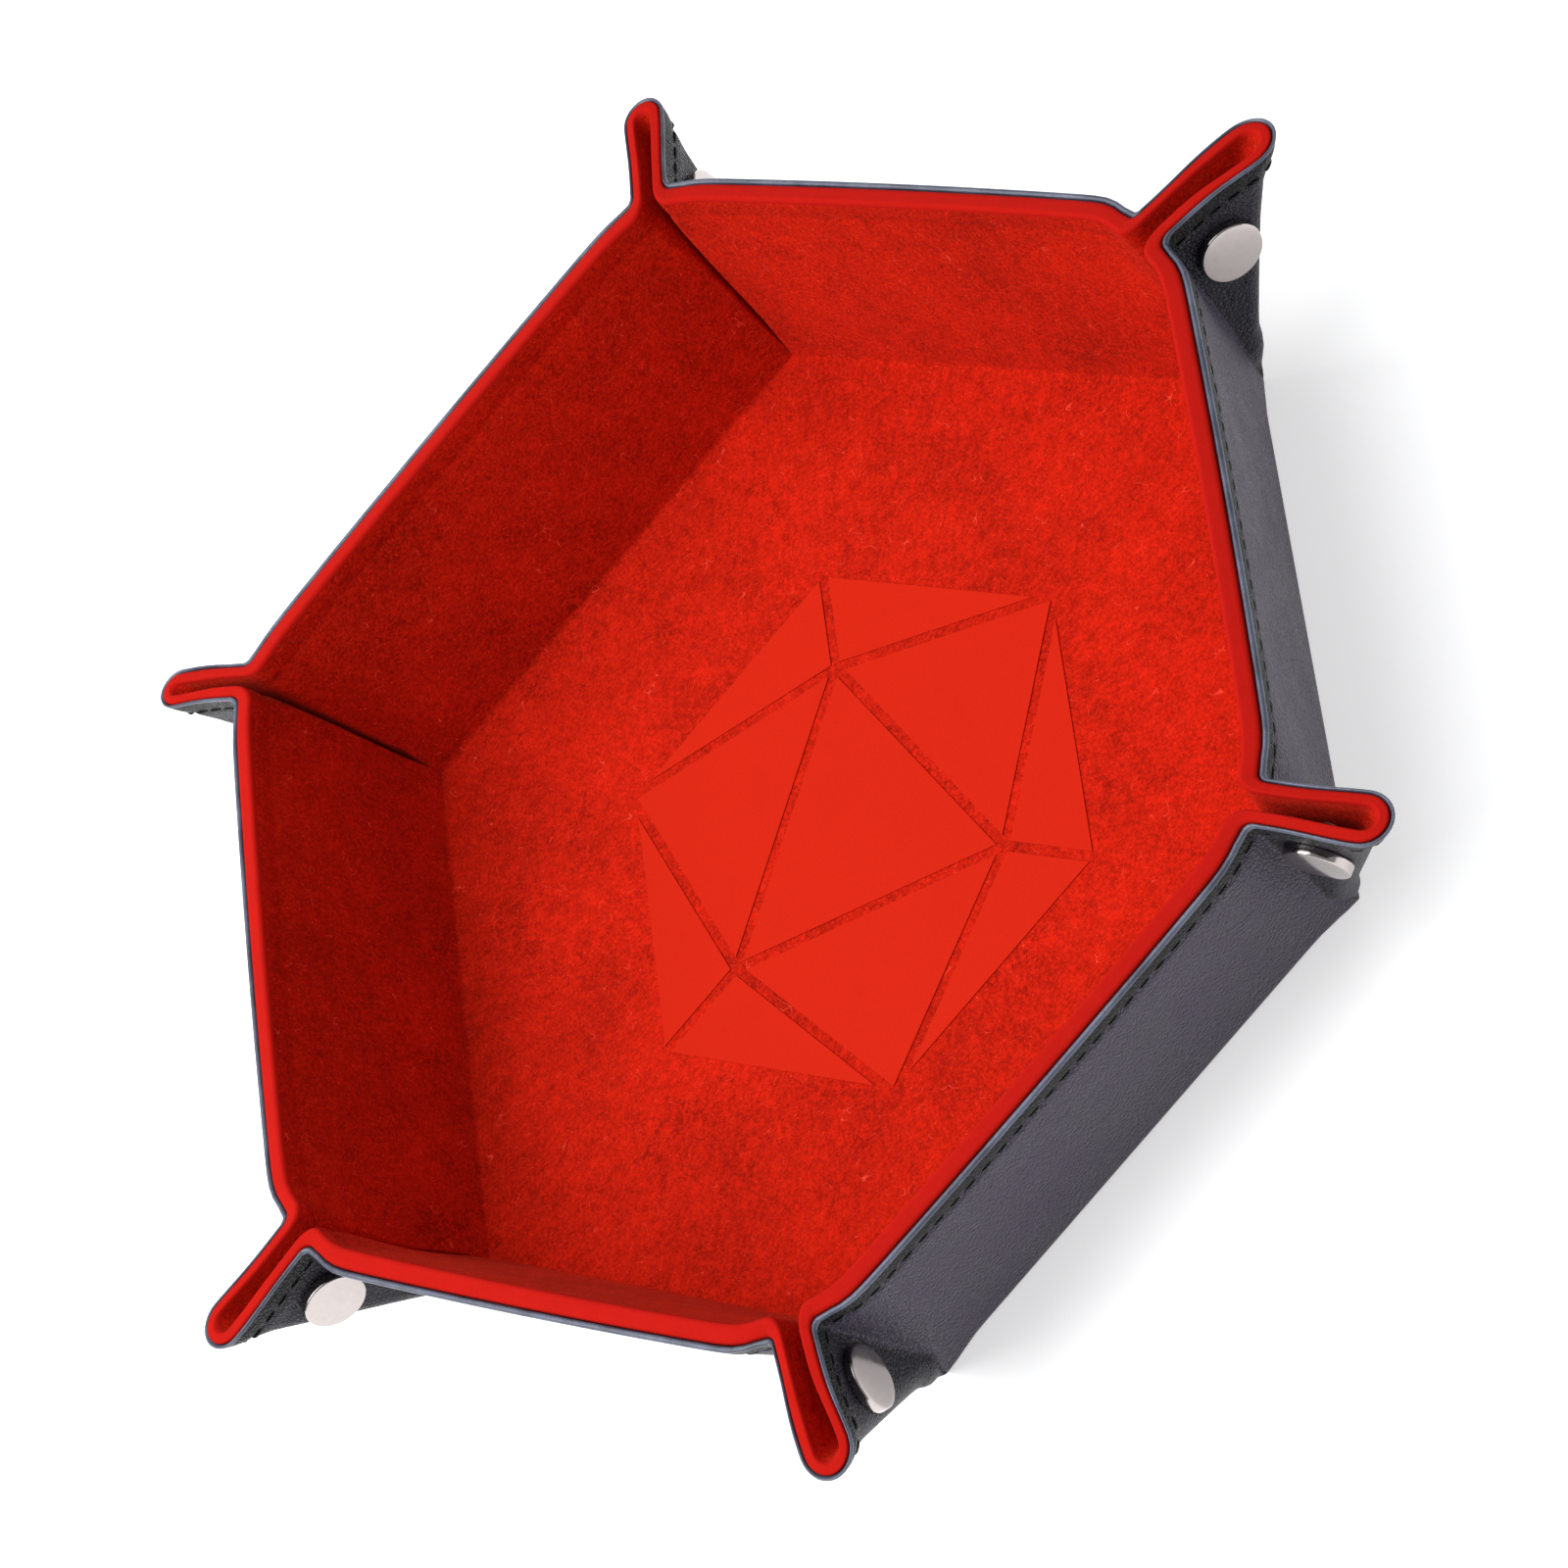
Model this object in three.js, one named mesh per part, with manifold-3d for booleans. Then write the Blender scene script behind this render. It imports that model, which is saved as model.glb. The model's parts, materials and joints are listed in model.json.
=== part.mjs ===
// A six-sided folding dice tray, set up for play.
//
// One leather sheet and one velvet sheet sandwich a floor board and six wall boards. Where two
// walls meet, the spare cloth stands out as an ear: two flaps, folded back to back along a ridge
// and held together by a snap. Undoing the snaps lets all six walls fall open until the tray is
// one flat hexagon.
//
// Millimetres, +Z up. The origin is the middle of the underside. Corner ears point along
// azimuths -60, 0, 60 ... 240 degrees, and wall 1 faces -Y.

import * as THREE from 'three';
import { mergeVertices } from 'three/addons/utils/BufferGeometryUtils.js';
import Module from 'manifold-3d';

const solids = await Module();
solids.setup();

// ---- driving dimensions -------------------------------------------------------------------

const SIDES = 6;
const CREASE_RADIUS = 100; // centre to corner of the velvet floor
const WALL_SLANT = 45.8; // floor crease to rim, along the wall
const WALL_LEAN = THREE.MathUtils.degToRad(15); // outwards from upright

const COVER = 1.0; // leather sheet
const BOARD = 2.2; // stiff board in the floor and walls
const LINING = 1.0; // velvet sheet
const GLUE_GAP = 0.1; // between neighbouring layers
const PRINT = 0.15; // transfer print on the floor

const EAR_OFFSET = 2.3; // a flap's middle plane, from the ear's plane of symmetry
const EAR_SHEET = COVER + LINING; // a flap has no board

const SHEET_GAP = 0.15; // an outer sheet's edge to the crease it bends at
const BOARD_GAP = 2.5; // a board's edge to a crease or the rim
const RIM_GAP = 4; // a wall board's top edge to the rim
const WALL_EAR_GAP = 1.0; // a wall sheet's side edge to the ear crease
const FLAP_EAR_GAP = 2.2; // a flap's edge to the ear crease
const FLAP_LOW = 9; // a flap starts this far up its crease, clear of the bottom corner
const RIDGE_GAP = 0.06; // a flap's rounded lip to the ear's plane of symmetry

// The snapped ears don't stand quite straight: how far each one leans round its corner line.
const EAR_SWING = [0, -5, 1.5, 5, -4, 5].map(THREE.MathUtils.degToRad);

const SNAP_UP = 34; // snap centre, along the ear's bisector from the bottom corner
const CAP_RADIUS = 5.9;
const CAP_HEIGHT = 2.2;
const POST_RADIUS = 1.6; // the cap's hollow shank, through the flap
const POST_CLEAR = 0.1;
const RING_RADIUS = 4.5; // socket and stud flanges
const SOCKET_HEIGHT = 1.9;
const STUD_RADIUS = 2.1;
const STUD_CLEAR = 0.2;
const FLANGE = 0.6;
const PIECE_GAP = 0.05; // between a snap part and the sheet it is pressed on
const CAP_BEVEL = 0.3; // radius lost at the cap's foot and shoulder
const CAP_CROWN = 1.3; // radius lost where the cap's face begins to dome
const CAP_SHARES = { widest: 0.3, shoulder: 0.6, crown: 0.86 }; // of the cap's height
const SOCKET_TAPER = 1.2;
const STUD_SHORT = 0.3; // from the stud's tip to the opposite flange
const ROUND_STEPS = 16;
const LIP_STEPS = 4;

const EMBLEM_RADIUS = 54; // the floor print's outline

// ---- worked out from them -----------------------------------------------------------------

const FIRST_WALL = -Math.PI / 2; // wall 1 faces -Y
const HALF_CORNER = Math.PI / SIDES; // half the angle between neighbouring walls
const STACK = COVER + BOARD + LINING + 2 * GLUE_GAP;
const MIDDLE = STACK / 2; // creases bend about the middle of the stack
const COVER_IN = COVER - MIDDLE; // layer faces, from the middle, outer side negative
const BOARD_OUT = COVER_IN + GLUE_GAP;
const BOARD_IN = BOARD_OUT + BOARD;
const LINING_OUT = BOARD_IN + GLUE_GAP;

// The velvet sides of floor and wall meet in a mitre, so the crease axis lies further out.
const MITRE = Math.tan((Math.PI / 2 - WALL_LEAN) / 2);
const CREASE_APOTHEM = CREASE_RADIUS * Math.cos(HALF_CORNER) + MIDDLE * MITRE;
const CREASE_HALF = CREASE_APOTHEM * Math.tan(HALF_CORNER);
const CORNER_RADIUS = CREASE_APOTHEM / Math.cos(HALF_CORNER);

// The wall widens by this much sideways for each unit up the slant.
const WALL_SPREAD = Math.sin(WALL_LEAN) * Math.tan(HALF_CORNER);
const WALL_CORNER = Math.PI / 2 + Math.atan(WALL_SPREAD);
const FLAP_ANGLE = (2 * Math.PI) / 3 - WALL_CORNER; // four sheets and the floor fill 360 degrees

// In the ear's plane of symmetry: elevations of the wall corner line and of the ridge.
const CORNER_RISE = Math.atan2(Math.cos(WALL_LEAN) * Math.cos(HALF_CORNER), Math.sin(WALL_LEAN));
const RIDGE_RISE = CORNER_RISE - FLAP_ANGLE;
const SNAP_RISE = (CORNER_RISE + RIDGE_RISE) / 2;

// The flaps stand apart, so the corner line moves along the wall and inwards.
const CORNER_SHIFT = EAR_OFFSET / Math.cos(HALF_CORNER);
const CORNER_INSET = EAR_OFFSET * Math.tan(HALF_CORNER);

// The ridge is a half round joining the flaps. Its length, less what the corner shift gives,
// sets how far each flap's flat part stops short of the sharp ridge line.
const RIDGE_ARC = (Math.PI / 2) * EAR_OFFSET;
const SHIFT_FLAT = (CORNER_SHIFT * Math.sin(WALL_CORNER)) / Math.cos(FLAP_ANGLE);
const SHIFT_FOLDED = (CORNER_INSET * Math.sin(CORNER_RISE)) / Math.cos(FLAP_ANGLE);
const RIDGE_INSET = RIDGE_ARC - SHIFT_FLAT + SHIFT_FOLDED;

// ---- materials ----------------------------------------------------------------------------

function finish(color, roughness, metalness = 0) {
  return new THREE.MeshStandardMaterial({ color, roughness, metalness });
}

const LEATHER = finish(0x2e2a30, 0.55);
const VELVET = finish(0xc01414, 0.95);
const GREYBOARD = finish(0x8a8478, 0.9);
const NICKEL = finish(0xd8d4d0, 0.2, 1);
const TRANSFER = finish(0xe63212, 0.7);

// ---- helpers ------------------------------------------------------------------------------

function named(name, geometry, material) {
  const mesh = new THREE.Mesh(geometry, material);
  mesh.name = name;
  return mesh;
}

function slab(points, thickness, holes = []) {
  const shape = new THREE.Shape(points);
  shape.holes = holes;
  const curveSegments = ROUND_STEPS / 2;
  return new THREE.ExtrudeGeometry(shape, { depth: thickness, bevelEnabled: false, curveSegments });
}

function hexagon(radius) {
  const points = [];
  for (let i = 0; i < SIDES; i += 1) {
    const turn = 2 * HALF_CORNER * i;
    points.push(new THREE.Vector2(radius * Math.cos(turn), radius * Math.sin(turn)));
  }
  return points;
}

function turnTo(object, x, y, z) {
  object.quaternion.setFromRotationMatrix(new THREE.Matrix4().makeBasis(x, y, z));
}

const X = new THREE.Vector3(1, 0, 0);
const Y = new THREE.Vector3(0, 1, 0);
const Z = new THREE.Vector3(0, 0, 1);

// ---- floor --------------------------------------------------------------------------------

function floorLayer(name, apothem, low, thickness, material) {
  const layer = named(name, slab(hexagon(apothem / Math.cos(HALF_CORNER)), thickness), material);
  layer.position.z = low;
  return layer;
}

function makeFloor() {
  const floor = new THREE.Group();
  const liningEdge = CREASE_APOTHEM - MIDDLE * MITRE - SHEET_GAP;
  floor.add(
    floorLayer('floor_cover', CREASE_APOTHEM - SHEET_GAP, 0, COVER, LEATHER),
    floorLayer('floor_board', CREASE_APOTHEM - BOARD_GAP, MIDDLE + BOARD_OUT, BOARD, GREYBOARD),
    floorLayer('floor_lining', liningEdge, MIDDLE + LINING_OUT, LINING, VELVET),
  );
  const print = named('floor_print', slab(hexagon(EMBLEM_RADIUS), PRINT), TRANSFER);
  print.position.z = STACK + PIECE_GAP;
  floor.add(print);
  return floor;
}

// ---- walls --------------------------------------------------------------------------------

// In the wall's own plane: x along the floor crease, y up the slant.
function wallOutline(low, high, sideGap) {
  const halfAt = (up) => CREASE_HALF - CORNER_SHIFT - sideGap + up * WALL_SPREAD;
  return [
    new THREE.Vector2(-halfAt(low), low),
    new THREE.Vector2(halfAt(low), low),
    new THREE.Vector2(halfAt(high), high),
    new THREE.Vector2(-halfAt(high), high),
  ];
}

// Wall axes: X outwards through the thickness, Y along the crease, Z up the slant.
function wallLayer(name, outline, outside, thickness, material) {
  const layer = named(name, slab(outline, thickness), material);
  turnTo(layer, Y, Z, X);
  layer.position.x = -outside - thickness;
  return layer;
}

function makeWall(number) {
  const wall = new THREE.Group();
  const liningLow = MIDDLE * MITRE + SHEET_GAP;
  const cover = wallOutline(SHEET_GAP, WALL_SLANT, WALL_EAR_GAP);
  const board = wallOutline(BOARD_GAP, WALL_SLANT - RIM_GAP, BOARD_GAP);
  const lining = wallOutline(liningLow, WALL_SLANT, WALL_EAR_GAP);
  wall.add(
    wallLayer(`wall_${number}_cover`, cover, -MIDDLE, COVER, LEATHER),
    wallLayer(`wall_${number}_board`, board, BOARD_OUT, BOARD, GREYBOARD),
    wallLayer(`wall_${number}_lining`, lining, LINING_OUT, LINING, VELVET),
  );
  wall.position.set(CREASE_APOTHEM, 0, MIDDLE);
  wall.rotation.y = WALL_LEAN;
  return wall;
}

// ---- ears ---------------------------------------------------------------------------------

// A point in the ear's plane, from distances along the corner line or ridge and across it.
function fromCorner(rise, along, across) {
  const x = along * Math.cos(rise) + across * Math.sin(rise);
  const y = along * Math.sin(rise) - across * Math.cos(rise);
  return new THREE.Vector2(CORNER_RADIUS + x, MIDDLE + y);
}

function crossing(a, aRise, b, bRise) {
  const gap = b.clone().sub(a);
  const turn = Math.sin(bRise - aRise);
  const along = (gap.x * Math.sin(bRise) - gap.y * Math.cos(bRise)) / turn;
  return new THREE.Vector2(a.x + along * Math.cos(aRise), a.y + along * Math.sin(aRise));
}

// A flap is bounded by the corner line, the rim and a cut near the bottom corner. The fourth
// side runs just outside the ridge, where the rounded lip ends by itself.
function flapOutline() {
  const cornerShift = -CORNER_INSET * Math.sin(CORNER_RISE) + FLAP_EAR_GAP;
  const cornerLow = fromCorner(CORNER_RISE, FLAP_LOW, cornerShift);
  const ridgeLow = fromCorner(RIDGE_RISE, FLAP_LOW, EAR_OFFSET + EAR_SHEET);
  const rimCorner = fromCorner(CORNER_RISE, WALL_SLANT / Math.sin(WALL_CORNER), 0);
  const rimRise = CORNER_RISE + WALL_CORNER - Math.PI;
  const cutRise = SNAP_RISE - Math.PI / 2;
  return [
    cornerLow,
    crossing(ridgeLow, RIDGE_RISE, cornerLow, cutRise),
    crossing(ridgeLow, RIDGE_RISE, rimCorner, rimRise),
    crossing(cornerLow, CORNER_RISE, rimCorner, rimRise),
  ];
}

// The flap's section across the ridge: flat, then a quarter round up to the plane of symmetry.
function lipSection(side) {
  const outer = EAR_OFFSET + EAR_SHEET / 2;
  const inner = EAR_OFFSET - EAR_SHEET / 2;
  const points = [new THREE.Vector2(-WALL_SLANT, side * inner)];
  points.push(new THREE.Vector2(-WALL_SLANT, side * outer));
  for (const radius of [outer, inner]) {
    const end = Math.asin(RIDGE_GAP / radius);
    const turns = [];
    for (let i = 0; i <= LIP_STEPS; i += 1) {
      turns.push(THREE.MathUtils.lerp(Math.PI / 2, end, i / LIP_STEPS));
    }
    if (radius === inner) turns.reverse();
    for (const turn of turns) {
      const across = radius * Math.cos(turn) - RIDGE_INSET;
      points.push(new THREE.Vector2(across, side * radius * Math.sin(turn)));
    }
  }
  return points;
}

const SNAP = fromCorner(SNAP_RISE, SNAP_UP, 0);
const CORNER_LINE = new THREE.Vector3(Math.cos(CORNER_RISE), 0, Math.sin(CORNER_RISE));

function postHole() {
  const hole = new THREE.Path();
  hole.absarc(SNAP.x, SNAP.y, POST_RADIUS + POST_CLEAR, 0, 2 * Math.PI, true);
  return hole;
}

function toSolid(mesh) {
  mesh.updateMatrix();
  const bare = mesh.geometry.clone().applyMatrix4(mesh.matrix);
  bare.deleteAttribute('normal');
  bare.deleteAttribute('uv');
  const merged = mergeVertices(bare);
  const vertProperties = new Float32Array(merged.attributes.position.array);
  const triVerts = new Uint32Array(merged.index.array);
  return new solids.Manifold(new solids.Mesh({ numProp: 3, vertProperties, triVerts }));
}

function fromSolid(solid) {
  const { vertProperties, triVerts } = solid.getMesh();
  const geometry = new THREE.BufferGeometry();
  geometry.setAttribute('position', new THREE.BufferAttribute(vertProperties, 3));
  geometry.setIndex(new THREE.BufferAttribute(triVerts, 1));
  geometry.computeVertexNormals();
  return geometry;
}

// Ear axes: X outwards from the tray's centre, Y round the tray, Z up. side is -1 or 1.
function makeFlap(name, side) {
  const depth = 2 * (EAR_OFFSET + EAR_SHEET); // more than the whole ear
  const outline = new THREE.Mesh(slab(flapOutline(), depth, [postHole()]));
  turnTo(outline, X, Z, Y.clone().negate());
  outline.position.y = depth / 2;

  const ridge = new THREE.Vector3(Math.cos(RIDGE_RISE), 0, Math.sin(RIDGE_RISE));
  const across = new THREE.Vector3(Math.sin(RIDGE_RISE), 0, -Math.cos(RIDGE_RISE));
  const section = new THREE.Mesh(slab(lipSection(side), 2 * WALL_SLANT));
  turnTo(section, across, Y, ridge);
  section.position.set(CORNER_RADIUS, 0, MIDDLE);
  return named(name, fromSolid(toSolid(section).intersect(toSolid(outline))), LEATHER);
}

function turned(profile) {
  const points = profile.map(([radius, height]) => new THREE.Vector2(radius, height));
  return new THREE.LatheGeometry(points, ROUND_STEPS);
}

// Snap parts stand on a flap's face at height 0 and rise along +Y.
function capGeometry() {
  const reach = EAR_SHEET + FLANGE - 2 * PIECE_GAP;
  return turned([
    [0, -reach],
    [POST_RADIUS, -reach],
    [POST_RADIUS, PIECE_GAP],
    [CAP_RADIUS - CAP_BEVEL, PIECE_GAP],
    [CAP_RADIUS, CAP_HEIGHT * CAP_SHARES.widest],
    [CAP_RADIUS - CAP_BEVEL, CAP_HEIGHT * CAP_SHARES.shoulder],
    [CAP_RADIUS - CAP_CROWN, CAP_HEIGHT * CAP_SHARES.crown],
    [0, CAP_HEIGHT],
  ]);
}

function socketGeometry() {
  const bore = POST_RADIUS + POST_CLEAR;
  const mouth = STUD_RADIUS + STUD_CLEAR;
  return turned([
    [bore, PIECE_GAP],
    [RING_RADIUS, PIECE_GAP],
    [RING_RADIUS, FLANGE],
    [RING_RADIUS - SOCKET_TAPER, SOCKET_HEIGHT],
    [mouth, SOCKET_HEIGHT],
    [mouth, FLANGE + PIECE_GAP],
    [bore, FLANGE + PIECE_GAP],
    [bore, PIECE_GAP],
  ]);
}

function studGeometry() {
  const bore = POST_RADIUS + POST_CLEAR;
  const tip = 2 * EAR_OFFSET - EAR_SHEET - FLANGE - 3 * PIECE_GAP - STUD_SHORT;
  return turned([
    [0, FLANGE + PIECE_GAP],
    [bore, FLANGE + PIECE_GAP],
    [bore, PIECE_GAP],
    [RING_RADIUS, PIECE_GAP],
    [RING_RADIUS, FLANGE],
    [STUD_RADIUS, FLANGE],
    [STUD_RADIUS, tip],
    [0, tip],
  ]);
}

function snapPart(name, geometry, height, outwards) {
  const part = named(name, geometry, NICKEL);
  part.position.set(SNAP.x, height, SNAP.y);
  part.rotation.x = outwards > 0 ? 0 : Math.PI;
  return part;
}

// Turns an ear about the line midway between its two corner creases.
function lean(ear, swing) {
  const pivot = new THREE.Vector3(CORNER_RADIUS - CORNER_INSET, 0, MIDDLE);
  ear.quaternion.setFromAxisAngle(CORNER_LINE, swing);
  ear.position.copy(pivot).sub(pivot.clone().applyQuaternion(ear.quaternion));
}

function makeEar(number) {
  const ear = new THREE.Group();
  const face = EAR_OFFSET + EAR_SHEET / 2;
  const inside = EAR_OFFSET - EAR_SHEET / 2;
  ear.add(
    makeFlap(`ear_${number}_left_flap`, -1),
    makeFlap(`ear_${number}_right_flap`, 1),
    snapPart(`ear_${number}_left_cap`, capGeometry(), -face, -1),
    snapPart(`ear_${number}_right_cap`, capGeometry(), face, 1),
    snapPart(`ear_${number}_socket`, socketGeometry(), -inside, 1),
    snapPart(`ear_${number}_stud`, studGeometry(), inside, -1),
  );
  lean(ear, EAR_SWING[number - 1]);
  return ear;
}

// ---- the tray -----------------------------------------------------------------------------

const tray = new THREE.Group();
tray.add(makeFloor());
for (let i = 0; i < SIDES; i += 1) {
  const wallSide = new THREE.Group();
  wallSide.rotation.z = FIRST_WALL + 2 * HALF_CORNER * i;
  wallSide.add(makeWall(i + 1));
  const corner = new THREE.Group();
  corner.rotation.z = FIRST_WALL + HALF_CORNER + 2 * HALF_CORNER * i;
  corner.add(makeEar(i + 1));
  tray.add(wallSide, corner);
}

export default tray;
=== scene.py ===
"""Looks of a six-sided folding dice tray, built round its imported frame.

The tray is two sheets, leather outside and velvet inside, with stiff boards between them in the
floor and walls. Both sheets are modelled as one continuous folded shell, then divided where the
CAD bodies meet: a floor panel, six walls and six corner ears for each sheet.

Metres, +Z up. A point of the shell is given by where it is round the tray, its height up the
slanted wall, and its depth: +half a stack on the leather face, -half a stack on the velvet face.
"""

import json
import math
from functools import partial

import bmesh
import bpy
import numpy as np
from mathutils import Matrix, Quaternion, Vector


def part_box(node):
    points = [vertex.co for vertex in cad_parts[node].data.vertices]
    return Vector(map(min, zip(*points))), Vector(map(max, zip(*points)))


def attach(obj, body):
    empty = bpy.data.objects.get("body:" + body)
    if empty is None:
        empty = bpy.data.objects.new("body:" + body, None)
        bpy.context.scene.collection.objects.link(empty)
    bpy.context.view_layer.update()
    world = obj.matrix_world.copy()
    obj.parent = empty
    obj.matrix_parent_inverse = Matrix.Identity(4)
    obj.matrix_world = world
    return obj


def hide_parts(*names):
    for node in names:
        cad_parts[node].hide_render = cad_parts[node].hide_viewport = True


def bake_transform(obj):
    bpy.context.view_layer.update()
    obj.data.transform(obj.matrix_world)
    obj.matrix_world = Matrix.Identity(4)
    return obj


MM = 0.001
TINY = 1e-7
SIDES = 6
HALF_CORNER = math.pi / SIDES

# ---- driving dimensions ----

COVER = 1.0 * MM
LINING = 1.0 * MM
HEM = 4.4 * MM  # rim to stitch line
HEM_PUFF = 0.25 * MM  # the hem stands proud of the face
HEM_MIDDLE = 2.2 * MM  # the puff's middle, from the rim, and its half width
HEM_REACH = 2.1 * MM
GROOVE = 0.6 * MM  # the stitch line is pulled in this deep
GROOVE_WIDTH = 0.75 * MM
EDGE = 1.1 * MM  # leather's thickness at the rim
VELVET_HEM = 5.0 * MM  # the velvet's own hem, with the depth and width of its seam
VELVET_SEAM = 0.16 * MM
VELVET_SEAM_WIDTH = 0.7 * MM
VELVET_PUFF = 0.2 * MM
VELVET_EDGE = 0.85 * MM  # radius of the velvet's rounded edge
VELVET_LOW = 0.1 * MM  # the velvet ends this far below the leather
STRIP = 5.0 * MM  # how far wall pieces reach in over the floor

# Each ear has settled in its own way: half its width at the tip, how far the tip curls
# sideways, anticlockwise seen from above, and how far its snap draws both sheets in at its mouth.
EAR_WIDTHS = [w * MM for w in (4.7, 5.2, 4.3, 3.8, 4.6, 5.0)]
EAR_CURLS = [c * MM for c in (0.4, -1.1, 0.5, 1.1, -0.8, 1.0)]
EAR_PINCHES = [p * MM for p in (2.2, 3.0, 1.2, 1.0, 3.0, 3.0)]
PINCH_SPREAD = 6.0 * MM
PINCH_FROM = 0.3  # share of the height where that begins, and the share over which it grows
PINCH_OVER = 0.65
WRAP = 2.55 * MM  # leather and velvet together at an ear's rim
SNAP_OUT = 3.3 * MM  # the ear's leather faces, from its middle plane, round the snap
CLOSED_SLOT = 0.45 * MM  # half the gap between the velvet faces at the mouth, below the snap
RIDGE_SLOT = 1.15 * MM  # the same at the ridge
FLARE_FROM = 0.8  # above this share of its height an ear opens from the snap's width to its own
MOUTH_SHARE = 0.55  # how much of that opening its mouth takes part in
RIDGE_FROM = 0.15  # share of a flap where its gap starts to change to the ridge's
RIDGE_BLEND = 15 * MM  # the ridge's rounding comes in over this height
EAR_SHIFT = 2.3 * MM  # moves the line from which an ear's flaps spread, in towards the tray
RIDGE_INSET = 2.15 * MM  # an ear's flat part stops this far inside its ideal ridge line
CLOSED_RIDGE = 0.936  # the same at the bottom corner, as a share of half the ear's width
CURL_FROM = 5 * MM  # a tip's curl begins this far out, and is full after this length
CURL_LENGTH = 17 * MM
CURL_RISE = 0.35  # and begins at this share of the height

VELVET_BEND_LOW = 0.7 * MM  # corner radius between wall and ear, at the bottom and at the rim
VELVET_BEND_TOP = 5.2 * MM
BEND_FROM = 0.45  # share of the height above which it grows from the one to the other
LEATHER_BEND = 1.8 * MM
VELVET_CREASE = 0.9 * MM  # half length of the rounding where floor and wall meet
LEATHER_CREASE = 3.0 * MM
CREASE_FADE = 9 * MM  # that rounding dies away this near a bottom corner
SLOPE_SAMPLE = 10 * MM  # a wall's slope is read over this height
CORNER_SOFT = 11 * MM  # sheets close up to a point within this height of the bottom corner
RIM_BOW = 0.7 * MM

STITCH_LENGTH = 2.9 * MM
STITCH_PITCH = 3.85 * MM
STITCH_HALF_WIDTH = 0.55 * MM
STITCH_HALF_HEIGHT = 0.32 * MM
STITCH_DIVE = 0.85 * MM  # how far a stitch's ends go down into the sheet
WALL_STITCH_LIFT = 0.6 * MM  # middle of the thread above the bottom of the groove
EAR_STITCH_LIFT = 0.4 * MM

SNAP_FACE = 1.3 * MM  # the socket and stud sit this far from the ear's middle plane
SNAP_FOOT = 0.05 * MM  # every snap part starts this far above the face it sits on
SHANK_RADIUS = 1.7 * MM
CAP_RADIUS = 5.9 * MM
CAP_WALL = 1.85 * MM
CAP_HEIGHT = 2.2 * MM
RING_RADIUS = 5.3 * MM  # flange of the socket and stud, against the velvet

BOARD_CUT_UP = 13 * MM  # a wall board's upper corners are cut from this far up its sides
BOARD_CUT_ALONG = 20 * MM  # to this far along its top

# Half widths, one for each sheet, listed with it in SHEETS below. The velvet's is less than
# CLOSED_SLOT.
LEATHER_EAR_BLEND = 2.0 * MM
VELVET_EAR_BLEND = 0.35 * MM

EMBLEM_RADIUS = 53 * MM
EMBLEM_GAP = 0.95 * MM  # half the gap between neighbouring facets

LATHE_SEGMENTS = 48
FILLET_STEPS = 12
FLAP_STEPS = 12
RIDGE_STEPS = 9
WALL_STEPS = 40

# ---- the frame ----

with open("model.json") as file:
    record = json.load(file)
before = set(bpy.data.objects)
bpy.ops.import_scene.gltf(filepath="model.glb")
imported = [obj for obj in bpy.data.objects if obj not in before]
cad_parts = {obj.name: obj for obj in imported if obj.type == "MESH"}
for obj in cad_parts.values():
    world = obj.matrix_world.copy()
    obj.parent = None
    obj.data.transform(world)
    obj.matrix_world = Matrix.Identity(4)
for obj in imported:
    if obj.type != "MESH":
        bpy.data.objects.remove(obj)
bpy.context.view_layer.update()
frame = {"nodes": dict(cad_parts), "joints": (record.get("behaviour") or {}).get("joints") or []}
joints = {joint["name"]: joint for joint in frame["joints"]}

floor_axis = Vector(joints["wall_1_fold"]["pos_m"])
MIDDLE = floor_axis.z  # creases bend about the middle of the stack
STACK = 2 * MIDDLE
APOTHEM = math.hypot(floor_axis.x, floor_axis.y)
CORNER_RADIUS = APOTHEM / math.cos(HALF_CORNER)
corner_line = Vector(joints["ear_1_left_fold"]["axis"])
ridge_line = -Vector(joints["ear_1_right_fold"]["axis"])
CORNER_RISE = math.asin(corner_line.z)
FLAP_ANGLE = corner_line.angle(ridge_line)
LEAN = math.atan(math.cos(HALF_CORNER) / math.tan(CORNER_RISE))
rim_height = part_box("wall_1_lining")[1].z
SLANT = (rim_height - MIDDLE * (1 + math.sin(LEAN))) / math.cos(LEAN)
MITRE = math.tan((math.pi / 2 - LEAN) / 2)


def smooth(x):
    """0 below 0, 1 above 1, and a smooth step between."""
    x = np.clip(x, 0.0, 1.0)
    return x * x * (3 - 2 * x)


def mix(a, b, t):
    return a + (b - a) * t


def turned(angle):
    """Radial and tangential unit vectors at an azimuth."""
    radial = np.array([math.cos(angle), math.sin(angle), 0.0])
    tangent = np.array([-math.sin(angle), math.cos(angle), 0.0])
    return radial, tangent


# ---- the folded shell ----

# Across a corner line, in the section square to it: e points outwards along the ear, f round the
# tray. The wall meets the ear at an angle that follows from the lean.
WALL_NORMAL = np.array(
    [
        math.cos(LEAN) * math.cos(HALF_CORNER) * math.sin(CORNER_RISE)
        + math.sin(LEAN) * math.cos(CORNER_RISE),
        math.cos(LEAN) * math.sin(HALF_CORNER),
    ]
)
WALL_AWAY = np.array([-WALL_NORMAL[1], WALL_NORMAL[0]])
BEND = math.pi / 2 - math.atan2(WALL_NORMAL[1], WALL_NORMAL[0])
# A level line runs straight across the opened sheet, so it climbs the corner line steadily.
LEVEL_CLIMB = math.sin(LEAN) * math.tan(HALF_CORNER)
CORNER_STRETCH = 1 / math.cos(math.atan(LEVEL_CLIMB))
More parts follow.
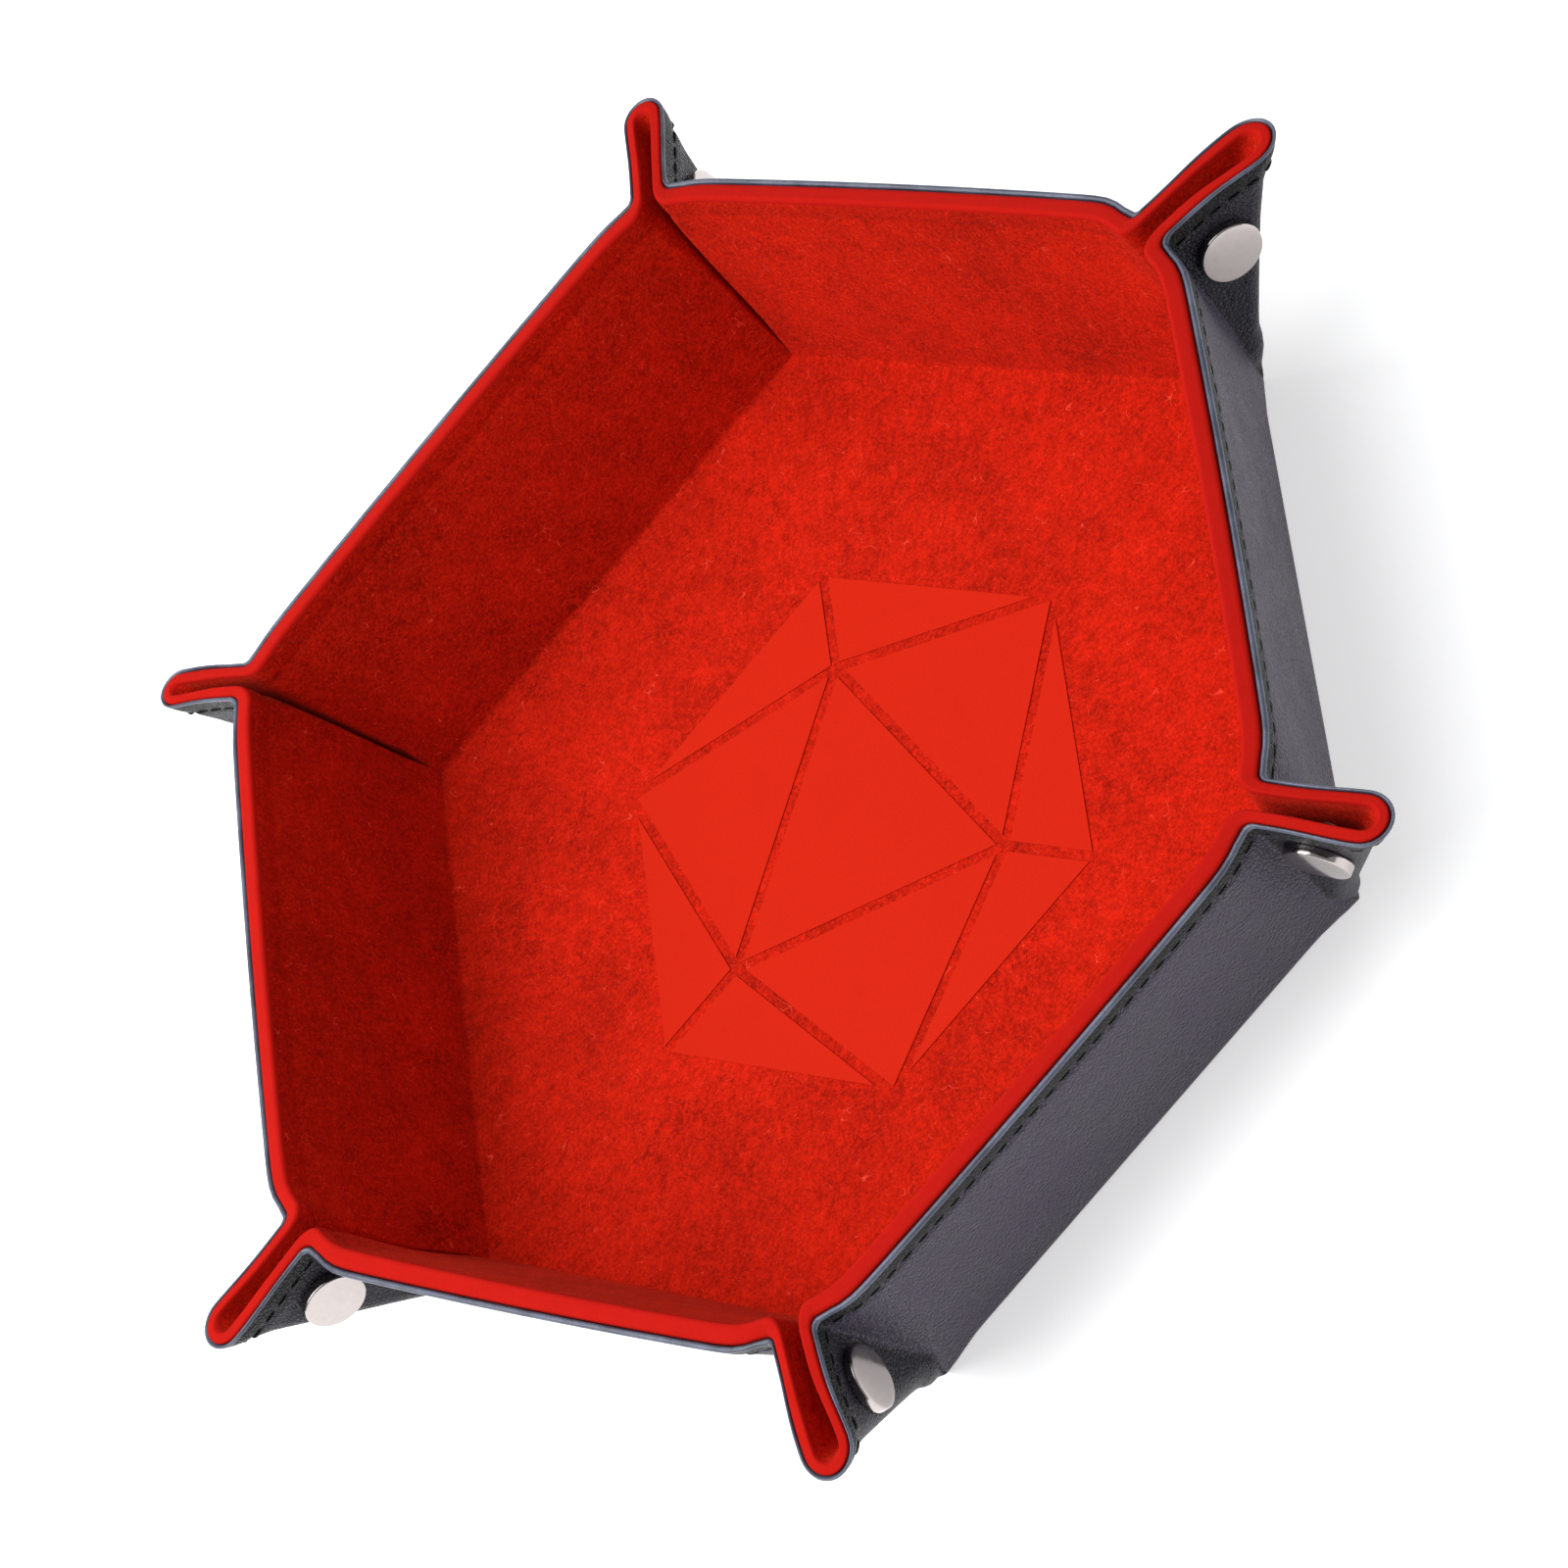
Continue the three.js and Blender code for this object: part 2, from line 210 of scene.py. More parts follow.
# Each face is the same folded shape, moved out along the mitre by its depth.
MITRE_OUT = MITRE / math.cos(HALF_CORNER)
DEPTH_E = MITRE_OUT * math.sin(CORNER_RISE) + math.cos(CORNER_RISE)
DEPTH_C = MITRE_OUT * math.cos(CORNER_RISE) - math.sin(CORNER_RISE)
RIDGE_RISE = CORNER_RISE - FLAP_ANGLE
DEPTH_RIDGE = MITRE_OUT * math.sin(RIDGE_RISE) + math.cos(RIDGE_RISE)
COS_FLAP = math.cos(FLAP_ANGLE)
SIN_FLAP = math.sin(FLAP_ANGLE)
EAR_AXIS = -EAR_SHIFT * math.tan(HALF_CORNER) * math.sin(CORNER_RISE)


def rim_level(depth):
    """Height of the rim above a face's own floor crease, along the slant."""
    return SLANT + MITRE * depth


class Corner:
    """One corner of the tray: its ear, and where the two walls beside it begin."""

    def __init__(self, number):
        self.number = number
        self.radial, self.tangent = turned(-math.pi / 3 + 2 * HALF_CORNER * (number - 1))
        up = np.array([0.0, 0.0, 1.0])
        self.origin = self.radial * CORNER_RADIUS + up * MIDDLE
        self.along = self.radial * math.cos(CORNER_RISE) + up * math.sin(CORNER_RISE)
        self.out = self.radial * math.sin(CORNER_RISE) - up * math.cos(CORNER_RISE)
        ridge = -np.array(joints[f"ear_{number}_right_fold"]["axis"])
        self.swing = math.atan2(ridge @ self.tangent, ridge @ self.out)
        self.normal = self.tangent * math.cos(self.swing) - self.out * math.sin(self.swing)
        self.snap = (self.cap_centre("left") + self.cap_centre("right")) / 2
        self.width = EAR_WIDTHS[number - 1]
        self.curl = EAR_CURLS[number - 1]
        self.pinch = EAR_PINCHES[number - 1]

    def cap_centre(self, side):
        low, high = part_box(f"ear_{self.number}_{side}_cap")
        return np.array((low + high) / 2)

    def gaps(self, height, depth):
        """Half the ear's width at the mouth and at the ridge, on the face at this depth."""
        t = depth / STACK + 0.5
        flare = smooth((height / rim_level(depth) - FLARE_FROM) / (1 - FLARE_FROM))
        grow = smooth(height / CORNER_SOFT)
        mouth_out = mix(SNAP_OUT, self.width, MOUTH_SHARE)
        mouth_slot = mix(CLOSED_SLOT, mouth_out - WRAP, flare)
        mouth = mix(mouth_slot, mix(SNAP_OUT, mouth_out, flare), t)
        ridge_slot = mix(RIDGE_SLOT, self.width - WRAP, flare)
        loop = mix(ridge_slot, mix(SNAP_OUT, self.width, flare), t)
        return mouth * grow, loop * grow

    def section(self, side, height, depth):
        """The right (1) or left (-1) half of the ear, from the wall to the middle plane.

        height and depth are arrays; returns stations x len(height) x 3.
        """
        half = HalfEar(self, side * self.swing, height, depth)
        rows = half.fillet_rows() + half.flap_rows() + half.ridge_rows()
        return np.array([self.place(ring, rise, side, depth) for ring, rise in rows])

    def place(self, ring, rise, side, depth):
        """Points of a section in the frame, with the tip's curl."""
        e = ring[:, 0] + DEPTH_E * depth
        raised = smooth(rise / SLANT - CURL_RISE) * smooth((ring[:, 0] - CURL_FROM) / CURL_LENGTH)
        f = side * ring[:, 1] + self.curl * raised
        c = rise + DEPTH_C * depth
        level = e[:, None] * self.out + f[:, None] * self.tangent
        return self.origin + level + c[:, None] * self.along


class HalfEar:
    """The section of half an ear at several heights and depths at once: a rounded bend out of
    the wall, a flat flap, and a quarter turn round the ridge. Each row is (points in the plane,
    rise along the corner line)."""

    def __init__(self, corner, swing, height, depth):
        grow = smooth(height / CORNER_SOFT)
        t = depth / STACK + 0.5
        opening = smooth((height / rim_level(depth) - BEND_FROM) / (1 - BEND_FROM))
        velvet_bend = mix(VELVET_BEND_LOW, VELVET_BEND_TOP, opening)
        self.radius = mix(velvet_bend, LEATHER_BEND, smooth(t)) * grow
        self.mouth, self.loop = corner.gaps(height, depth)
        self.axis_e = grow * (EAR_AXIS - DEPTH_E * depth)
        self.flap = np.array([math.cos(swing), math.sin(swing)])
        self.across = np.array([-self.flap[1], self.flap[0]])
        self.turn = BEND + swing
        facing = WALL_NORMAL @ self.across
        mouth_at = -(WALL_NORMAL[0] * self.axis_e + self.mouth * facing) / (WALL_NORMAL @ self.flap)
        self.start = mouth_at + self.radius * math.tan(self.turn / 2)
        self.base = CORNER_STRETCH * height
        flat_k = -RIDGE_INSET - DEPTH_RIDGE * depth
        ridge_k = mix(-CLOSED_RIDGE * self.loop, flat_k, smooth(height / RIDGE_BLEND))
        climb = COS_FLAP - SIN_FLAP * LEVEL_CLIMB
        ridge_e = (ridge_k + SIN_FLAP * self.base) / climb
        self.end = np.maximum(ridge_e - self.axis_e, self.start + 1e-6)

    def point(self, reach, offset):
        """A point of the section, reach along the flap and offset from its middle plane."""
        start = np.stack([self.axis_e, 0 * self.axis_e], -1)
        return start + reach[:, None] * self.flap + offset[:, None] * self.across

    def fillet_rows(self):
        centre = self.point(self.start, self.mouth + self.radius)
        wall_point = centre - self.radius[:, None] * WALL_NORMAL
        wall_climb = -LEVEL_CLIMB * (wall_point @ WALL_AWAY)
        flap_climb = LEVEL_CLIMB * (self.axis_e + self.start)
        rows = []
        for j in range(FILLET_STEPS + 1):
            s = j / FILLET_STEPS
            angle = self.turn * s - BEND - math.pi / 2
            direction = np.array([math.cos(angle), math.sin(angle)])
            ring = centre + self.radius[:, None] * direction
            rows.append((ring, self.base + mix(wall_climb, flap_climb, s)))
        return rows

    def flap_rows(self):
        rows = []
        for j in range(1, FLAP_STEPS + 1):
            s = j / FLAP_STEPS
            reach = mix(self.start, self.end, s)
            offset = mix(self.mouth, self.loop, smooth((s - RIDGE_FROM) / (1 - RIDGE_FROM)))
            rise = self.base + LEVEL_CLIMB * (self.axis_e + reach)
            rows.append((self.point(reach, offset), rise))
        return rows

    def ridge_rows(self):
        rows = []
        for j in range(1, RIDGE_STEPS + 1):
            angle = math.pi / 2 * j / RIDGE_STEPS
            out = self.loop * math.sin(angle)
            climb = self.loop * math.tan(HALF_CORNER) * math.sin(angle)
            reach = self.end + COS_FLAP * out + SIN_FLAP * climb
            rise = self.base + LEVEL_CLIMB * (self.axis_e + self.end)
            rise = rise - SIN_FLAP * out + COS_FLAP * climb
            rows.append((self.point(reach, self.loop * math.cos(angle)), rise))
        return rows


corners = [Corner(number) for number in range(1, SIDES + 1)]


def corner_before(number):
    return corners[(number - 2) % SIDES]


def wall_directions(number):
    """Outward and sideways unit vectors of a wall, level."""
    return turned(-math.pi / 2 + 2 * HALF_CORNER * (number - 1))


def row_distances(columns, start):
    """How far along its row each point is from the column numbered start, either way."""
    gaps = np.linalg.norm(np.diff(columns, axis=0), axis=-1)
    along = np.concatenate([np.zeros((1, columns.shape[1])), np.cumsum(gaps, axis=0)])
    return np.abs(along - along[start])


def pinched(columns, height, corner, start):
    """How far each point is drawn in towards the tray beside an ear's mouth, one side of which
    is the column numbered start."""
    near = np.exp(-((row_distances(columns, start) / PINCH_SPREAD) ** 2))
    amount = corner.pinch * near * smooth((height / SLANT - PINCH_FROM) / PINCH_OVER)
    return amount[..., None] * -corner.radial


def ear_columns(number, height, depth):
    """Columns right round an ear, from the middle of one bend to the middle of the other,
    with one spare column beyond each end."""
    corner = corners[number - 1]
    half = FILLET_STEPS // 2 - 1
    left = corner.section(-1, height, depth)[half:]
    right = corner.section(1, height, depth)[half:]
    columns = np.concatenate([left, right[-2::-1]])
    shift = pinched(columns, height, corner, 1) + pinched(columns, height, corner, -2)
    return columns + shift


def floor_side(point, inwards):
    """A point moved in over the floor, towards the tray's middle."""
    moved = point.copy()
    moved[..., :2] *= 1 - inwards / APOTHEM
    return moved


def straight_columns(number, height, depth):
    """A wall's columns up its slant, from the middle of one bend to the middle of the other,
    with one spare column beyond each end."""
    half = FILLET_STEPS // 2 + 2
    first = corner_before(number).section(1, height, depth)[:half][::-1]
    last = corners[number - 1].section(-1, height, depth)[:half]
    between = np.linspace(0, 1, WALL_STEPS + 1)[1:-1, None, None]
    return np.concatenate([first, mix(first[-1], last[0], between), last])


def wall_shares(count):
    """Where each column is along the wall, 0 to 1; the bends at both ends stay 0 or 1."""
    half = FILLET_STEPS // 2 + 2
    share = np.zeros(count)
    share[half - 1 : -half + 1] = np.linspace(0, 1, WALL_STEPS + 1)
    share[-half + 1 :] = 1
    return share


def creased(columns, bases, upward, height, width):
    """Columns that run in over the floor below height 0, with the crease between rounded."""
    inward = floor_side(bases, 1.0) - bases
    inside = np.where(height < 0, -height, 0.0)
    result = columns + inward * inside[None, :, None]
    p = np.clip(height[None, :], -width, width)
    rounded = (
        bases
        + upward * ((width + p) ** 2 / (4 * width))[..., None]
        + inward * ((width - p) ** 2 / (4 * width))[..., None]
    )
    near_crease = np.abs(height)[None, :] < width
    return np.where(near_crease[..., None], rounded, result)


def wall_columns(number, height, depth):
    """Columns along a wall with one spare column beyond each end. Heights below 0 are distances
    in over the floor, and the crease between is rounded."""
    columns = straight_columns(number, np.maximum(height, 0.0), depth)
    bases = straight_columns(number, np.zeros_like(height), depth)
    lifted = straight_columns(number, np.full_like(height, SLOPE_SAMPLE), depth)
    share = wall_shares(len(columns))
    from_end = np.minimum(share, 1 - share) * CORNER_RADIUS
    full = mix(VELVET_CREASE, LEATHER_CREASE, depth / STACK + 0.5)
    width = full[None, :] * smooth(from_end[:, None] / CREASE_FADE) + TINY
    upward = (lifted - bases) / SLOPE_SAMPLE
    result = creased(columns, bases, upward, height, width)

    bow = (4 * share * (1 - share))[:, None] * smooth(height / SLANT)[None, :] ** 2 * RIM_BOW
    shift = pinched(columns, height, corner_before(number), 1)
    shift = shift + pinched(columns, height, corners[number - 1], -2)
    return result + bow[..., None] * wall_directions(number)[0] + shift


# ---- profiles of the two sheets ----


def hem_shape(below_rim):
    """How far the hem stands proud of the face: puffed at the rim, sunk at the stitch line."""
    puff = HEM_PUFF * np.clip(1 - ((below_rim - HEM_MIDDLE) / HEM_REACH) ** 2, 0, 1)
    groove = GROOVE * np.exp(-(((below_rim - HEM) / GROOVE_WIDTH) ** 2))
    return float(puff - groove)


def in_mm(*values):
    return [value * MM for value in values]


def leather_profile(floor_rows):
    """Closed outline of the leather as (height, depth, material slot), outer face first."""
    out = STACK / 2
    rim = rim_level(out)
    heights = in_mm(-5, -4, -3.2, -2.4, -1.6, -0.8) if floor_rows else []
    heights += in_mm(0, 0.8, 1.6, 2.4, 3.2, 4.5, 6, 8, 10.5, 13, 16, 20, 24, 28, 32, 36, 39)
    below = in_mm(7.2, 6.4, 5.9, 5.5, 5.1, 4.75, 4.4, 4.05, 3.7, 3.3, 2.8, 2.2, 1.6, 1.0)
    heights += [rim - b for b in below]
    # Slot 2, the hem band from the rim down to the stitch line, takes the darkest leather copy:
    # painted shade.
    rows = [(h, out + hem_shape(rim - h), 2 if rim - h < HEM + 1e-6 else 0) for h in heights]
    # Slot 1, the rounded edge, is a lighter bluish grey: the cut edge's own grey with a painted
    # highlight.
    radius = EDGE / 2
    for j in range(9):
        angle = math.pi * j / 8
        depth = out + hem_shape(1.0 * MM) - radius + radius * math.cos(angle)
        rows.append((rim_level(depth) - radius * (1 - math.sin(angle)), depth, 1))
    inner = out - COVER
    heights = [rim_level(inner) - 5 * MM, 24 * MM, 10 * MM, 3 * MM, 0.0]
    if floor_rows:
        heights.append(-STRIP)
    return rows + [(h, inner, 0) for h in heights]


def velvet_profile(floor_rows):
    """Closed outline of the velvet, visible face first."""
    face = -STACK / 2
    rim = rim_level(face)
    heights = in_mm(-5, -3.5, -2.4, -1.6, -1.0, -0.6, -0.3) if floor_rows else []
    heights += in_mm(0, 0.3, 0.6, 1.0, 1.6, 2.4, 3.6, 5, 7, 9, 11, 13.5, 16, 19, 22, 25, 28, 31, 34)
    heights += [rim - b for b in in_mm(7.4, 6.4, 5.6, 5.0, 4.6, 4.2, 3.6, 2.8, 2.0, 1.3)]
    rows = []
    for h in heights:
        below = rim - h
        seam = VELVET_SEAM * np.exp(-(((below - VELVET_HEM) / VELVET_SEAM_WIDTH) ** 2))
        puff = VELVET_PUFF * smooth((VELVET_HEM - below) / (3 * MM))
        rows.append((h, face + float(seam) - float(puff), 1 if below < 1.4 * MM else 0))
    top_depth = face - VELVET_PUFF
    for j in range(6):
        angle = math.pi / 2 * j / 5
        depth = top_depth + VELVET_EDGE * (1 - math.cos(angle))
        drop = VELVET_EDGE * (1 - math.sin(angle))
        rows.append((rim_level(depth) - drop - VELVET_LOW, depth, 1))
    inner_top = STACK / 2 - EDGE
    for s in (0.3, 0.6, 0.85):
        depth = mix(top_depth + VELVET_EDGE, inner_top, s)
        rows.append((rim_level(depth) - VELVET_LOW, depth, 1))
    rows.append((rim_level(inner_top) - 0.6 * MM, inner_top, 0))
    rows.append((rim_level(inner_top) - 3.2 * MM, inner_top, 0))
    hidden = face + LINING
    heights = [rim_level(hidden) - 4.2 * MM, 20 * MM, 8 * MM, 2.5 * MM, 0.0]
    if floor_rows:
        heights.append(-STRIP)
    return rows + [(h, hidden, 0) for h in heights]


# ---- mesh building ----


def row_normals(grid, closes):
    """Smooth normals of a columns x rows grid; each column is a closed outline, but the side
    from the row numbered closes to the next is left out."""
    following = np.roll(grid, -1, axis=1)
    normals = np.cross(following[1:] - grid[:-1], following[:-1] - grid[1:])
    normals[:, closes] = 0
    total = np.zeros_like(grid)
    for column in (slice(0, -1), slice(1, None)):
        total[column] += normals
        total[column] += np.roll(normals, 1, axis=1)
    length = np.linalg.norm(total, axis=-1, keepdims=True)
    return total / np.maximum(length, 1e-12)


def new_object(name, vertices, faces, materials, face_slots=None, loop_normals=None):
    mesh = bpy.data.meshes.new(name)
    mesh.from_pydata([tuple(v) for v in vertices], [], faces)
    for material in materials:
        mesh.materials.append(material)
    if face_slots is not None:
        mesh.polygons.foreach_set("material_index", face_slots)
    mesh.polygons.foreach_set("use_smooth", [True] * len(faces))
    mesh.update()
    if loop_normals is not None:
        mesh.normals_split_custom_set(loop_normals)
    obj = bpy.data.objects.new(name, mesh)
    bpy.context.scene.collection.objects.link(obj)
    return obj


def merged(grid):
    """The grid's points with repeats merged, and each grid place's index among them."""
    keys = {}
    vertices = []
    index = np.zeros(grid.shape[:2], int)
    for place in np.ndindex(index.shape):
        key = tuple(np.round(grid[place], 7))
        if key not in keys:
            keys[key] = len(vertices)
            vertices.append(grid[place])
        index[place] = keys[key]
    return vertices, index


def flat_normal(points):
    total = Vector((0, 0, 0))
    for a, b in zip(points, points[1:] + points[:1]):
        total += a.cross(b)
    return tuple(total.normalized())


def volume_sign(vertices, faces):
    volume = 0.0
    for face in faces:
        a = np.array(vertices[face[0]])
        for b, c in zip(face[1:-1], face[2:]):
            volume += a @ np.cross(vertices[b], vertices[c])
    return math.copysign(1, volume)


def turned_out(faces, loops):
    """The faces reversed, with their loop normals reversed to match."""
    result = []
    start = 0
    for face in faces:
        part = loops[start : start + len(face)]
        result.extend(tuple(-x for x in n) for n in reversed(part))
        start += len(face)
    return [face[::-1] for face in faces], result


def build_skin(name, columns_at, profile, materials):
    """A closed sheet: a profile of (height, depth, material slot) carried along the columns of a
    wall or an ear, whose first and last columns are spare."""
    height, depth = (np.array([row[k] for row in profile]) for k in (0, 1))
    row_slots = [row[2] for row in profile]
    grid = columns_at(height, depth)
    rows = len(profile)
    last = rows - 1
    normals = row_normals(grid, last)[1:-1]
    grid = grid[1:-1]
    columns = len(grid)
    vertices, index = merged(grid)
    faces, slots, loops = [], [], []

    def add(places, slot, flat):
        kept = {}
        for place in places:
            kept.setdefault(int(index[place]), place)
        if len(kept) < 3:
            return
        faces.append(list(kept))
        slots.append(slot)
        if flat:
            normal = flat_normal([Vector(vertices[v]) for v in kept])
            loops.extend([normal] * len(kept))
        else:
            loops.extend(tuple(normals[place]) for place in kept.values())

    for i in range(columns - 1):
        for j in range(rows):
            k = (j + 1) % rows
            add([(i, j), (i + 1, j), (i + 1, k), (i, k)], row_slots[j], j == last)
    add([(0, j) for j in range(rows)], row_slots[0], True)
    add([(columns - 1, j) for j in reversed(range(rows))], row_slots[0], True)
    if volume_sign(vertices, faces) < 0:
        faces, loops = turned_out(faces, loops)
    return new_object(name, vertices, faces, materials, slots, loops)


# ---- materials ----


class Nodes:
    """A material's node tree with short ways to add nodes and links."""

    def __init__(self, name):
        self.material = bpy.data.materials.new(name)
        self.material.use_nodes = True
        self.tree = self.material.node_tree
        self.shader = self.tree.nodes["Principled BSDF"]
        self.place = self.add("ShaderNodeTexCoord").outputs["Object"]

    def give(self, socket, value):
        if isinstance(value, bpy.types.NodeSocket):
            self.tree.links.new(value, socket)
        else:
            socket.default_value = value

    def add(self, kind, **inputs):
        node = self.tree.nodes.new(kind)
        for key, value in inputs.items():
            self.give(node.inputs[key.replace("_", " ")], value)
        return node

    def set(self, **values):
        for key, value in values.items():
            self.give(self.shader.inputs[key.replace("_", " ")], value)

    def noise(self, scale, detail=2.0, roughness=0.5, place=None):
        source = place or self.place
        inputs = {"Scale": scale, "Detail": detail, "Roughness": roughness}
        return self.add("ShaderNodeTexNoise", Vector=source, **inputs).outputs["Fac"]

    def cells(self, scale, feature):
        node = self.add("ShaderNodeTexVoronoi", Vector=self.place, Scale=scale)
        node.feature = feature
        return node.outputs["Distance"]

    def curls(self, scale, width, mask):
        """Short curly fibres: thin level lines of a noise, kept only where the mask is 1."""
        level = self.math("ABSOLUTE", self.math("SUBTRACT", self.noise(scale, 1.0), 0.5))
        return self.times(self.ramp(level, width, width * 0.4), mask)

    def stretched(self, scale):
        return self.add("ShaderNodeMapping", Vector=self.place, Scale=scale).outputs["Vector"]

    def ramp(self, value, low, high, start=0.0, end=1.0):
        limits = {"From_Min": low, "From_Max": high, "To_Min": start, "To_Max": end}
        return self.add("ShaderNodeMapRange", Value=value, **limits).outputs["Result"]

    def math(self, operation, a, b=0.0):
        node = self.add("ShaderNodeMath")
        node.operation = operation
        self.give(node.inputs[0], a)
        self.give(node.inputs[1], b)
        return node.outputs[0]

    def plus(self, first, *others):
        for other in others:
            first = self.math("ADD", first, other)
        return first

    def times(self, a, b):
        return self.math("MULTIPLY", a, b)

    def blend(self, factor, first, second):
        node = self.add("ShaderNodeMix")
        node.data_type = "RGBA"
        for socket, value in ((0, factor), (6, first), (7, second)):
            self.give(node.inputs[socket], value)
        return node.outputs[2]

    def bump(self, height, distance, strength=1.0, under=None):
        node = self.add("ShaderNodeBump", Height=height, Distance=distance, Strength=strength)
        if under is not None:
            self.tree.links.new(under, node.inputs["Normal"])
        return node.outputs["Normal"]


def rgb(red, green, blue):
    """An sRGB colour, 0 to 255, as linear RGBA."""
    linear = []
    for value in (red, green, blue):
        v = value / 255
        linear.append(v / 12.92 if v <= 0.04045 else ((v + 0.055) / 1.055) ** 2.4)
    return (*linear, 1.0)


def velvet_material():
    """Short brushed pile: cloudy where the nap lies differently, speckled, with bits of lint."""
    m = Nodes("velvet")
    clouds = m.noise(48, 5.0, 0.62)
    nap = m.noise(380, 3.0, 0.65)
    pile = m.noise(1500, 3.0, 0.8)
    bruises = m.ramp(m.noise(75, 5.0, 0.7), 0.56, 0.72)
    tone = m.plus(m.ramp(clouds, 0.3, 0.7, 0.0, 0.4), m.ramp(nap, 0.3, 0.7, 0.0, 0.25))
    tone = m.plus(tone, m.ramp(pile, 0.36, 0.64, -0.2, 0.5))
    tone = m.plus(tone, m.times(bruises, m.ramp(pile, 0.4, 0.6, -0.5, 0.0)))
    colour = m.blend(tone, rgb(140, 17, 3), rgb(213, 33, 12))
    lint = m.curls(260, 0.007, m.ramp(m.noise(240, 1.0), 0.6, 0.64))
    colour = m.blend(m.times(lint, 0.55), colour, rgb(238, 78, 58))
    specks = m.ramp(m.noise(2300, 0.0), 0.77, 0.82)
    colour = m.blend(m.times(specks, 0.7), colour, rgb(236, 60, 42))
    normal = m.bump(m.plus(pile, m.times(nap, 0.6)), 0.00045, 0.6)
    m.set(Base_Color=colour, Roughness=0.92, Specular_IOR_Level=0.06, Normal=normal)
    m.set(Sheen_Weight=0.1, Sheen_Roughness=0.35, Sheen_Tint=(1.0, 0.22, 0.12, 1.0))
    return m.material


def rim_material():
    """The velvet's cut edge along the rim: brighter, denser and plainer than the pile."""
    m = Nodes("velvet_rim")
    fuzz = m.noise(3000, 2.0, 0.7)
    patches = m.noise(260, 2.0)
    tone = m.plus(m.ramp(fuzz, 0.3, 0.7, 0.0, 0.5), m.ramp(patches, 0.3, 0.7, 0.0, 0.5))
    colour = m.blend(tone, rgb(170, 18, 9), rgb(180, 20, 11))
    m.set(Base_Color=colour, Roughness=0.9, Specular_IOR_Level=0.08)
    m.set(Normal=m.bump(fuzz, 0.0002, 0.35))
    return m.material


def leather_material(name, low, high, sheen, gloss):
    """Black leathercloth: fine pebble grain, a little uneven in its shine. The darker copies made
    from it for the ears and the hem are painted shade."""
    m = Nodes(name)
    pebble = m.cells(1300, "SMOOTH_F1")
    creases = m.cells(1300, "DISTANCE_TO_EDGE")
    pores = m.noise(3400, 2.0)
    folds = m.noise(90, 3.0, 0.6)
    tone = m.plus(m.ramp(folds, 0.3, 0.7, 0.0, 0.6), m.ramp(pebble, 0.2, 0.7, 0.4, 0.0))
    colour = m.blend(tone, rgb(*low), rgb(*high))
    grain = m.plus(m.ramp(creases, 0.0, 0.15, 0.0, 0.7), m.times(pebble, -0.5))
    grain = m.plus(grain, m.times(pores, 0.25))
    soft = m.bump(folds, 0.0012, 0.35)
    m.set(Base_Color=colour, Roughness=m.ramp(folds, 0.3, 0.7, 0.38, 0.5))
    m.set(Specular_IOR_Level=gloss, Normal=m.bump(grain, 0.00055, 0.9, soft))
    m.set(Sheen_Weight=sheen, Sheen_Roughness=0.5, Sheen_Tint=(0.84, 0.76, 1.0, 1.0))
    return m.material


def edge_and_highlight_material():
    """The leathercloth's edge, a smooth bluish grey lighter than the leather: partly the cut edge's
    own grey, partly a painted highlight along its rounded edge.
    """
    m = Nodes("leather_edge_and_painted_highlight")
    wear = m.noise(1400, 2.0, 0.5)
    streaks = m.noise(140, 2.0, 0.5)
    colour = m.blend(m.ramp(streaks, 0.35, 0.65), rgb(58, 62, 78), rgb(88, 94, 113))
    colour = m.blend(m.ramp(wear, 0.5, 0.75, 0.0, 0.4), colour, rgb(46, 45, 58))
    m.set(Base_Color=colour, Roughness=m.ramp(wear, 0.3, 0.7, 0.3, 0.42))
    m.set(Normal=m.bump(wear, 0.0001, 0.4))
    return m.material


def thread_material():
    m = Nodes("thread")
    ply = m.add("ShaderNodeTexWave", Vector=m.place, Scale=900.0)
    ply.bands_direction = "DIAGONAL"
    fuzz = m.noise(4000, 1.0)
    colour = m.blend(fuzz, rgb(5, 5, 7), rgb(15, 14, 19))
    m.set(Base_Color=colour, Roughness=0.6, Normal=m.bump(ply.outputs["Fac"], 0.0002, 0.6))
    return m.material


def nickel_material():
    """Polished nickel plate with faint scuffs."""
    m = Nodes("nickel")
    scuffs = m.noise(700, 4.0, 0.7)
    m.set(Base_Color=m.blend(scuffs, rgb(168, 160, 158), rgb(184, 176, 174)), Metallic=1.0)
    m.set(Roughness=m.ramp(scuffs, 0.35, 0.65, 0.1, 0.18), Normal=m.bump(scuffs, 0.00002, 0.15))
    return m.material


def print_material():
    """Heat transfer on velvet: flat colour, with the pile just showing through."""
    m = Nodes("transfer_print")
    pile = m.noise(2600, 2.0, 0.7)
    clouds = m.noise(120, 3.0)
    colour = m.blend(m.ramp(pile, 0.2, 0.8), rgb(186, 27, 2), rgb(194, 30, 3))
    colour = m.blend(m.ramp(clouds, 0.55, 0.8, 0.0, 0.25), colour, rgb(180, 25, 2))
    m.set(Base_Color=colour, Roughness=0.8, Specular_IOR_Level=0.1)
    m.set(Normal=m.bump(pile, 0.0002, 0.3))
    return m.material


def board_material():
    m = Nodes("greyboard")
    fibre = m.noise(900, 4.0, 0.7, m.stretched((1.0, 3.0, 1.0)))
    colour = m.blend(m.ramp(fibre, 0.35, 0.65), rgb(138, 131, 118), rgb(164, 156, 142))
    m.set(Base_Color=colour, Roughness=0.9, Normal=m.bump(fibre, 0.0001, 0.4))
    return m.material


VELVET = velvet_material()
RIM = rim_material()
LEATHER = leather_material("leather", (33, 24, 40), (49, 37, 61), 0.13, 0.36)
